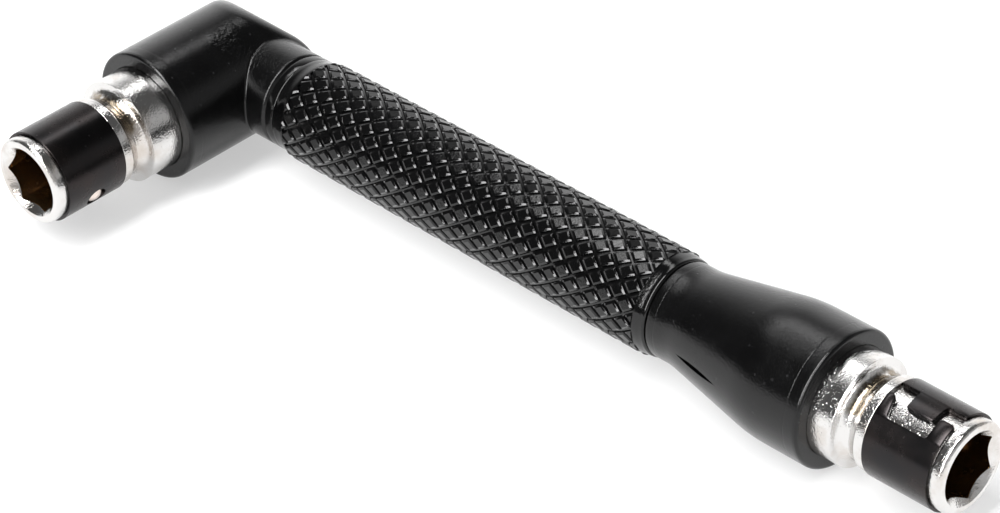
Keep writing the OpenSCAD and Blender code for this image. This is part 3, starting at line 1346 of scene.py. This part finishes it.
@dataclass
class Nose(Moulding):
    """The nose: a cone that widens from the grip into a barrel, with a mould slit."""

    start: float = 65.2 * MM
    end: float = 86.6 * MM
    land_radius: float = 5.2 * MM
    cone_from: float = 67.7 * MM
    cone_slope: float = 0.189
    barrel_radius: float = 7.4 * MM
    blend: float = 0.32 * MM
    ring_step: float = 0.2 * MM
    end_round: float = 0.4 * MM
    recess_radius: float = 5.83 * MM
    recess_depth: float = 0.3 * MM
    recess_edge: float = 0.05 * MM
    lines: tuple[float, ...] = (66.3 * MM, 84.95 * MM, 86.25 * MM)
    scuffs: float = 0.3
    slit_length: float = 6.0 * MM
    slit_width: float = 0.55 * MM
    slit_at: float = 72.7 * MM
    slit_floor: float = 5.2 * MM
    slit_sides: int = 720

    def outline(self) -> Outline:
        """Gives the nose's outline.

        Returns:
            Its points, from the seam to the recess round the socket.
        """
        outline = self.lip(self.land_radius, self.start, near=True)
        stations = np.arange(self.start + 2 * self.seam_depth, self.end - self.end_round, self.ring_step)
        cone = self.land_radius + self.cone_slope * (stations - self.cone_from)
        radii = soft_min(
            soft_max(np.full_like(cone, self.land_radius), cone, self.blend / 2),
            np.full_like(cone, self.barrel_radius), self.blend,
        )
        outline += list(zip(radii.tolist(), stations.tolist()))
        outline += Bench.arc(
            (self.barrel_radius - self.end_round, self.end - self.end_round), self.end_round, 0, 90, 6
        )
        floor = self.end - self.recess_depth
        return outline + [
            (self.recess_radius + self.recess_edge, self.end),
            (self.recess_radius, self.end - self.recess_edge),
            (self.recess_radius, floor), (self.hidden_radius, floor),
        ]

    def slit_cutter(self) -> Piece:
        """Models the lens that cuts the slit.

        Returns:
            The lens, standing out of the cone's -Y side.
        """
        bow = (self.slit_length ** 2 + self.slit_width ** 2) / (4 * self.slit_width)
        lens = Bench.rod(bow, self.slit_floor, self.barrel_radius * 1.2, self.slit_sides)
        lens.data.transform(Matrix.Translation((0, bow - self.slit_width / 2, 0)))
        other = Bench.rod(bow, self.slit_floor * 0.99, self.barrel_radius * 1.21, self.slit_sides)
        other.data.transform(Matrix.Translation((0, self.slit_width / 2 - bow, 0)))
        Bench.combine(lens, other, CutKind.KEEP_SHARED)
        lens.data.transform(
            Matrix.Translation((0, 0, self.slit_at)) @ Matrix.Rotation(math.radians(-90), 4, "Y")
        )
        return lens

    def build(self) -> Piece:
        """Builds the nose and dresses it.

        Returns:
            The finished nose.
        """
        piece = Bench.turned("nose_shell", self.outline())
        Bench.combine(piece, self.slit_cutter(), CutKind.REMOVE)
        piece.data.transform(Arm.LONG.matrix())
        Bench.shade(piece)
        Bench.weigh(piece)
        lines = tuple(map(Arm.LONG.station, self.lines))
        piece.data.materials.append(MouldedBlack("nose_black", scuffs=self.scuffs, lines=lines).material())
        return piece


@dataclass
class BitSocket:
    """A chromed bit socket: flange, clip seat, waist, collar and hexagon bore."""

    head: Head
    hex_flats: float = 6.4 * MM
    hex_depth: float = 14.5 * MM
    hex_edge: float = 0.16 * MM
    relief_radius: float = 3.0 * MM
    relief_depth: float = 1.5 * MM
    face_radius: float = 2.0 * MM
    mouth_radius: float = 4.0 * MM
    mouth_slope: float = 0.85
    mouth_share: float = 0.9
    flange_radius: float = 4.87 * MM
    flange_round: float = 0.45 * MM
    flange_length: float = 1.3 * MM
    seat_radius: float = 4.61 * MM
    seat_end: float = 9.16 * MM
    ring_radius: float = 5.0 * MM
    waist_at: float = 11.3 * MM
    waist_radius: float = 4.5 * MM
    waist_groove: float = 1.05 * MM
    waist_lip: float = 0.9 * MM
    waist_rings: int = 46
    collar_radius: float = 5.8 * MM
    collar_from: float = 12.35 * MM
    collar_to: float = 17.4 * MM
    collar_round: float = 0.85 * MM
    shank_radius: float = 3.9 * MM
    edge: float = 0.07 * MM
    fine_edge: float = 0.05 * MM
    ball_at: float = 5.23 * MM
    ball_mouth: float = 1.1 * MM
    ball_mouth_span: Span = (2 * MM, 3.6 * MM)
    ball_hole: float = 1.3 * MM
    ball_hole_span: Span = (3.4 * MM, 6 * MM)
    hole_sides: int = 48

    @property
    def hex_corner(self) -> float:
        """Gives how far the bore's corners lie from its axis."""
        return self.hex_flats / 2 / math.cos(math.pi / 6)

    def waist(self) -> Outline:
        """Gives the waist's outline: a ring, a hollow and the collar, all running smoothly.

        Returns:
            Its points, from the clip seat to the collar.
        """
        shoulder = self.collar_from + self.collar_round
        stations = np.linspace(self.seat_end + 2 * self.edge, shoulder, self.waist_rings)
        off = stations - self.waist_at
        dip = np.sqrt(np.maximum(self.waist_groove ** 2 - off ** 2, 0))
        hollow = self.waist_radius + self.waist_groove - dip
        hollow = np.where(np.abs(off) < self.waist_groove, hollow, self.collar_radius * 1.2)
        body = np.where(off < 0, self.ring_radius, self.collar_radius)
        radii = soft_min(body, hollow, self.waist_lip)
        past = np.maximum(shoulder - stations, 0) / self.collar_round
        bulge = self.collar_radius - self.collar_round * (1 - np.sqrt(np.maximum(1 - past ** 2, 0)))
        collar = np.minimum(np.maximum(radii, bulge), self.collar_radius)
        radii = np.where(stations > self.collar_from, collar, radii)
        return list(zip(radii.tolist(), (-stations).tolist()))

    def outline(self) -> Outline:
        """Gives the socket's outline.

        Returns:
            Its points, from its front face back into the housing.
        """
        edge = self.edge
        points: Outline = [(self.face_radius, 0.0)]
        points += Bench.arc(
            (self.flange_radius - self.flange_round, -self.flange_round), self.flange_round, 90, 0, 10
        )
        points += Bench.arc(
            (self.flange_radius - edge, -self.flange_length + edge), edge, 0, -90, 3
        )
        points += [(self.seat_radius, -self.flange_length), (self.seat_radius, -self.seat_end)]
        points += Bench.arc((self.ring_radius - edge, -self.seat_end - edge), edge, 90, 0, 3)
        points += self.waist()
        return points + [(self.collar_radius, -self.collar_to), (self.shank_radius, -self.collar_to)]

    def bore(self, piece: Piece) -> None:
        """Cuts the countersunk hexagon bore and its relief.

        Args:
            piece: The socket's solid.
        """
        hexagon = Bench.rod(self.hex_corner, -self.hex_depth, MM, sides=6)
        Bench.soften(hexagon, self.hex_edge, 30, 3)
        hexagon.data.transform(Matrix.Translation((0, 0, self.hex_edge)))
        bottom = -self.hex_depth - self.relief_depth
        Bench.combine(piece, hexagon, CutKind.REMOVE)
        Bench.combine(piece, Bench.rod(self.relief_radius, bottom, -self.hex_depth + MM), CutKind.REMOVE)
        inner = self.hex_flats / 2 * self.mouth_share
        cone = Bench.turned("cutter", [
            (inner, (inner - self.mouth_radius) * self.mouth_slope),
            (self.mouth_radius + MM, MM * self.mouth_slope),
        ])
        Bench.combine(piece, cone, CutKind.REMOVE)

    def ball_way(self, piece: Piece) -> None:
        """Drills the ball's hole from the side, narrower where it opens into the bore.

        Args:
            piece: The socket's solid.
        """
        side = Matrix.Translation((0, 0, -self.ball_at)) @ Matrix.Rotation(math.radians(90), 4, "Y")
        hole = Bench.rod(self.ball_hole, *self.ball_hole_span, self.hole_sides)
        mouth = Bench.rod(self.ball_mouth, *self.ball_mouth_span, self.hole_sides)
        for cutter in (mouth, hole):
            cutter.data.transform(side)
            Bench.combine(piece, cutter, CutKind.REMOVE)

    def in_bore(self, face: bpy.types.MeshPolygon) -> bool:
        """Says whether a face is a wall or the floor of the bore.

        Args:
            face: A face of the socket's solid, in its own axes.

        Returns:
            True for a face of the bore, below its mouth.
        """
        middle, normal = face.center, face.normal
        inward = middle.x * normal.x + middle.y * normal.y <= 1e-9
        near = math.hypot(middle.x, middle.y) < self.hex_corner * 1.01
        return near and inward and middle.z < -0.1 * MM and (abs(normal.z) < 0.3 or middle.z < -MM)

    def build(self) -> Piece:
        """Builds the socket and dresses it, chrome outside and bare steel inside.

        Returns:
            The finished socket.
        """
        arm = self.head.arm
        piece = Bench.turned(f"{self.head.word}_socket_body", self.outline())
        self.bore(piece)
        Bench.soften(piece, self.fine_edge, 28)
        self.ball_way(piece)
        waist = arm.station(self.head.reach - self.waist_at)
        chrome = BrightChrome(f"chrome_{arm.name.lower()}_arm", arm=arm, waist_at=waist)
        for finish in (chrome, BoreSteel("bore_steel")):
            piece.data.materials.append(finish.material())
        for face in piece.data.polygons:
            face.material_index = int(self.in_bore(face))
        piece.data.transform(self.head.matrix())
        Bench.shade(piece)
        Bench.weigh(piece)
        return piece


@dataclass
class SpringClip:
    """A split spring sleeve whose tab reaches between two prongs, with its ball hole."""

    head: Head
    bore_radius: float = 4.65 * MM
    wall: float = 0.5 * MM
    length: float = 7.7 * MM
    middle: float = 5.23 * MM
    gap: float = 1.75 * MM
    tab_reach: float = 2.5 * MM
    tab_width: float = 3.4 * MM
    tab_gap: float = 0.55 * MM
    tab_skew: float = 0.14 * MM
    tab_taper: float = 0.26 * MM
    tab_drop: float = 0.06 * MM
    prong_drop: float = 0.05 * MM
    prong_drift: float = 0.08 * MM
    prong_slant: float = 0.92 * MM
    drift_from: float = 0.62
    notch_rise: float = 0.08 * MM
    notch_drop: float = 0.3 * MM
    hole_radius: float = 1.2 * MM
    hole_sides: int = 48
    corner: float = 0.3 * MM
    edge: float = 0.07 * MM
    strips: int = 60
    strips_reach: float = 1.12

    @property
    def outer(self) -> float:
        """Gives the clip's outer radius."""
        return self.bore_radius + self.wall

    def sheet_outline(self) -> Outline:
        """Gives the flat sheet's outline.

        Returns:
            Its corners, each as the way round the rim and the height.
        """
        tab_edge = math.pi * self.outer - self.gap / 2
        tab_root = tab_edge - self.tab_reach
        notch_root = -tab_edge
        prong_tip = notch_root - self.tab_reach
        high = self.length / 2
        tab = self.tab_width / 2
        notch = tab + self.tab_gap
        return [
            (tab_root, -high), (tab_root, self.tab_skew - tab), (tab_edge, self.tab_taper - tab),
            (tab_edge, tab - self.tab_drop), (tab_root, tab), (tab_root, high),
            (prong_tip, high - self.prong_drop), (prong_tip, notch),
            (notch_root, notch - self.notch_rise), (notch_root, -notch - self.notch_drop),
            (prong_tip, -notch - self.prong_slant), (prong_tip, -high - self.prong_drift),
            (notch_root, -high - 0.5 * self.prong_drift), (self.drift_from * notch_root, -high),
        ]

    def sheet(self) -> Piece:
        """Models the flat sheet with rounded corners, its hole and its thickness.

        Returns:
            The sheet, with its hole at the middle.
        """
        corners = np.array([(x, y, 0.0) for x, y in self.sheet_outline()])
        Bench.deselect()
        bpy.ops.mesh.primitive_circle_add(vertices=len(corners), radius=MM, fill_type="NGON")
        sheet = Bench.named(bpy.context.object, f"{self.head.word}_clip_band")
        Bench.set_points(sheet, corners)
        Bench.pick(sheet)
        with Bench.editing():
            bpy.ops.mesh.bevel(offset=self.corner, segments=5, affect="VERTICES", clamp_overlap=True)
            bpy.ops.mesh.select_all(action="SELECT")
            bpy.ops.mesh.extrude_region_move(TRANSFORM_OT_translate={"value": (0, 0, self.wall)})
            Bench.face_outward()
        hole = Bench.rod(self.hole_radius, -self.wall, self.wall * 2, self.hole_sides)
        Bench.combine(sheet, hole, CutKind.REMOVE)
        Bench.soften(sheet, self.edge, 50)
        return sheet

    def build(self) -> Piece:
        """Cuts the sheet into strips, wraps it round the socket and dresses it.

        Returns:
            The finished clip. The offset head's is slid on with its other end first.
        """
        sheet = self.sheet()
        Bench.pick(sheet)
        half_rim = math.pi * self.outer * self.strips_reach
        cuts = [(i + 0.5) / self.strips * half_rim for i in range(-self.strips, self.strips)]
        cuts += [x + side * self.edge * 2 for x, _ in self.sheet_outline() for side in (-1, 1)]
        with Bench.editing():
            for at in sorted(cuts):
                bpy.ops.mesh.select_all(action="SELECT")
                bpy.ops.mesh.bisect(plane_co=(at, 0, 0), plane_no=(1, 0, 0))
        flat = Bench.points(sheet)
        turn, height = flat[:, 0] / self.outer, flat[:, 1] - self.middle
        Bench.set_points(sheet, Bench.wrapped(turn, self.bore_radius + flat[:, 2], height))
        arm = self.head.arm
        if arm is Arm.SHORT:
            middle = Matrix.Translation((0, 0, -self.middle))
            sheet.data.transform(middle @ Matrix.Rotation(math.pi, 4, "X") @ middle.inverted())
        sheet.data.transform(self.head.matrix())
        Bench.shade(sheet)
        Bench.weigh(sheet)
        sheet.data.materials.append(SpringBlack(f"clip_{arm.name.lower()}_arm", arm=arm).material())
        return sheet

    def ball_way(self) -> tuple[Vector, Vector]:
        """Gives the line that the ball moves along.

        Returns:
            The clip's centre and the ball's place at its wall, in the frame.
        """
        matrix = self.head.matrix()
        return matrix @ Vector((0, 0, -self.middle)), matrix @ Vector((self.bore_radius, 0, -self.middle))


@dataclass(frozen=True)
class Lamp:
    """A soft rectangular lamp, hung at a place from the aim and turned to it."""

    name: str
    place: Triple
    size: Span
    power: float

    def hang(self, aim: Vector) -> None:
        """Hangs the lamp.

        Args:
            aim: The place that it lights.
        """
        lamp = bpy.data.lights.new(self.name, "AREA")
        lamp.shape = "RECTANGLE"
        lamp.size, lamp.size_y = self.size
        lamp.energy = self.power
        holder = bpy.data.objects.new(self.name, lamp)
        holder.location = aim + Vector(self.place)
        holder.rotation_euler = (-Vector(self.place)).to_track_quat("-Z", "Y").to_euler()
        bpy.context.scene.collection.objects.link(holder)


@dataclass
class Studio:
    """The pale floor, the soft lights and the camera of the picture.

    The room's directions are turns from +X, and its edges and heights are shares of a ray's
    direction: 1 is straight at a side, or straight up.
    """

    azimuth: float = 45.887
    elevation: float = 36.489
    roll: float = -2.369
    place: Triple = (0.20921, -0.19878, 0.22429)
    focal_share: float = 3.6171
    sensor: float = 36.0
    clip_start: float = 10 * MM
    floor_size: float = 3.0
    aim: Triple = (0, 0.003, 0.0074)
    lamps: tuple[Lamp, ...] = (
        Lamp("rear_softbox", (-0.208, 0.180, 0.413), (0.21, 0.09), 0.25),
        Lamp("side_softbox", (-0.25, 0.032, 0.413), (0.17, 0.05), 0.13),
        Lamp("side_panel", (-0.25, -0.095, 0.413), (0.09, 0.06), 0.022),
    )
    sweep_turn: float = 135.0
    sweep_edge: Span = (0.45, 0.8)
    sweep_top: Span = (0.35, 0.8)
    sweep_light: float = 1.45
    panel_turn: float = 30.0
    panel_edge: Span = (0.35, 0.6)
    panel_top: Span = (0.48, 0.66)
    panel_foot: Span = (0.03, 0.12)
    panel_light: float = 0.42
    front_turn: float = -35.0
    front_edge: Span = (0.55, 0.8)
    front_light: float = 0.5
    arch_at: float = -0.07
    arch_reach: float = 0.15
    arch_start: float = 0.2
    arch_light: float = 14.0
    below_light: float = 0.95
    room_light: float = 0.1
    fill: float = 0.3

    def camera(self) -> None:
        """Places the camera at the photograph's viewing angle."""
        a, e, r = (math.radians(v) for v in (self.azimuth, self.elevation, self.roll))
        back = Vector((math.sin(a) * math.cos(e), -math.cos(a) * math.cos(e), math.sin(e)))
        level = Vector((math.cos(a), math.sin(a), 0))
        right = math.cos(r) * level + math.sin(r) * back.cross(level)
        up = back.cross(right)
        lens = bpy.data.cameras.new("camera")
        lens.sensor_width = self.sensor
        lens.lens = self.focal_share * self.sensor
        lens.clip_start = self.clip_start
        holder = bpy.data.objects.new("camera", lens)
        axes = Matrix((right, up, back)).transposed().to_4x4()
        holder.matrix_world = Matrix.Translation(self.place) @ axes
        bpy.context.scene.collection.objects.link(holder)
        bpy.context.scene.camera = holder

    def floor(self) -> None:
        """Lays the pale floor, a wide disc."""
        Bench.deselect()
        bpy.ops.mesh.primitive_circle_add(vertices=96, radius=self.floor_size, fill_type="NGON")
        floor = Bench.named(bpy.context.object, "floor")
        floor.data.materials.append(PaleFloor("pale_floor").material())

    @staticmethod
    def toward(n: Nodes, way: Socket, turn: float, edge: Span) -> Socket:
        """Masks the part of the room that lies towards one side.

        Args:
            n: The world's node helper.
            way: The direction that a ray leaves in.
            turn: The side's direction.
            edge: Shares of that direction where the mask starts and where it is full.

        Returns:
            The mask, from 0 to 1.
        """
        angle = math.radians(turn)
        ends = {0: way, 1: (math.cos(angle), math.sin(angle), 0)}
        side = n.add("ShaderNodeVectorMath", ends, operation="DOT_PRODUCT")
        return n.ramp(side.outputs["Value"], edge)

    def arch(self, n: Nodes, ray: Sockets) -> Socket:
        """Masks the narrow strip of light that arches over the front of the tool.

        Args:
            n: The world's node helper.
            ray: The X, Y and Z of the direction that a ray leaves in.

        Returns:
            The mask, 0 or 1.
        """
        arch = n.math("LESS_THAN", n.apart(ray["X"], self.arch_at), self.arch_reach)
        arch = n.times(arch, n.math("LESS_THAN", ray["Y"], 0.0))
        return n.times(arch, n.math("GREATER_THAN", ray["Z"], self.arch_start))

    def world(self) -> None:
        """Gives the room: a white sweep behind, a greyer panel beside it, dim elsewhere."""
        world = bpy.data.worlds.new("room")
        bpy.context.scene.world = world
        world.use_nodes = True
        n = Nodes(world.node_tree)
        way = n.add("ShaderNodeTexCoord").outputs["Generated"]
        ray = n.axes(way)
        high = ray["Z"]
        fall = (1.0, 0.0)
        sweep = self.toward(n, way, self.sweep_turn, self.sweep_edge)
        panel = self.toward(n, way, self.panel_turn, self.panel_edge)
        panel = n.times(panel, n.ramp(high, self.panel_top, fall))
        lights = (
            (n.times(sweep, n.ramp(high, self.sweep_top, fall)), self.sweep_light),
            (n.times(panel, n.ramp(high, self.panel_foot)), self.panel_light),
            (self.toward(n, way, self.front_turn, self.front_edge), self.front_light),
            (self.arch(n, ray), self.arch_light),
            (n.math("LESS_THAN", high, 0.0), self.below_light),
        )
        path = n.add("ShaderNodeLightPath").outputs
        room: Value = self.room_light
        for mask, light in (*lights, (path["Is Diffuse Ray"], self.fill)):
            room = n.larger(room, n.times(mask, light))
        strength = n.larger(room, path["Is Camera Ray"])
        n.fill(world.node_tree.nodes["Background"], {"Color": (1, 1, 1, 1), "Strength": strength})

    def build(self) -> None:
        """Sets the whole studio."""
        bpy.context.scene.view_settings.view_transform = "Standard"
        self.camera()
        self.floor()
        self.world()
        for lamp in self.lamps:
            lamp.hang(Vector(self.aim))


def report(piece: Piece) -> None:
    """Reports a finished piece and its number of faces."""
    LOG.info("%s: %d faces", piece.name, len(piece.data.polygons))


def dress_node(name: str, finish: Finish) -> None:
    """Gives a CAD node a finish and reports it.

    Args:
        name: The node's name.
        finish: The finish for each of its material slots.
    """
    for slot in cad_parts[name].material_slots:
        slot.material = finish.material()
    LOG.info("%s dressed", name)


def main() -> None:
    """Builds every piece in order and reports each."""
    logging.getLogger().setLevel(logging.INFO)
    Studio().build()
    LOG.info("studio set")

    elbow = Elbow().build()
    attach(elbow, "handle")
    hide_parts("elbow_housing")
    report(elbow)

    grip = Grip().build()
    for piece in grip:
        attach(piece, "handle")
        report(piece)
    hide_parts("grip_sleeve")

    nose = Nose().build()
    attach(nose, "handle")
    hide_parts("nose_housing")
    report(nose)

    for head in HEADS:
        socket = BitSocket(head).build()
        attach(socket, "handle")
        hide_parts(f"{head.word}_socket")
        report(socket)

        maker = SpringClip(head)
        clip = maker.build()
        middle, rim = maker.ball_way()
        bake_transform(clip)
        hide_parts(f"{head.word}_clip")
        report(clip)

        dress_node(f"{head.word}_ball", PlainSteel("polished_ball", colour=(0.78, 0.68, 0.62), rough=0.18))
    dress_node("core_bar", PlainSteel("drawn_bar", colour=(0.42, 0.42, 0.43), rough=0.35))


if __name__ == "__main__":
    main()
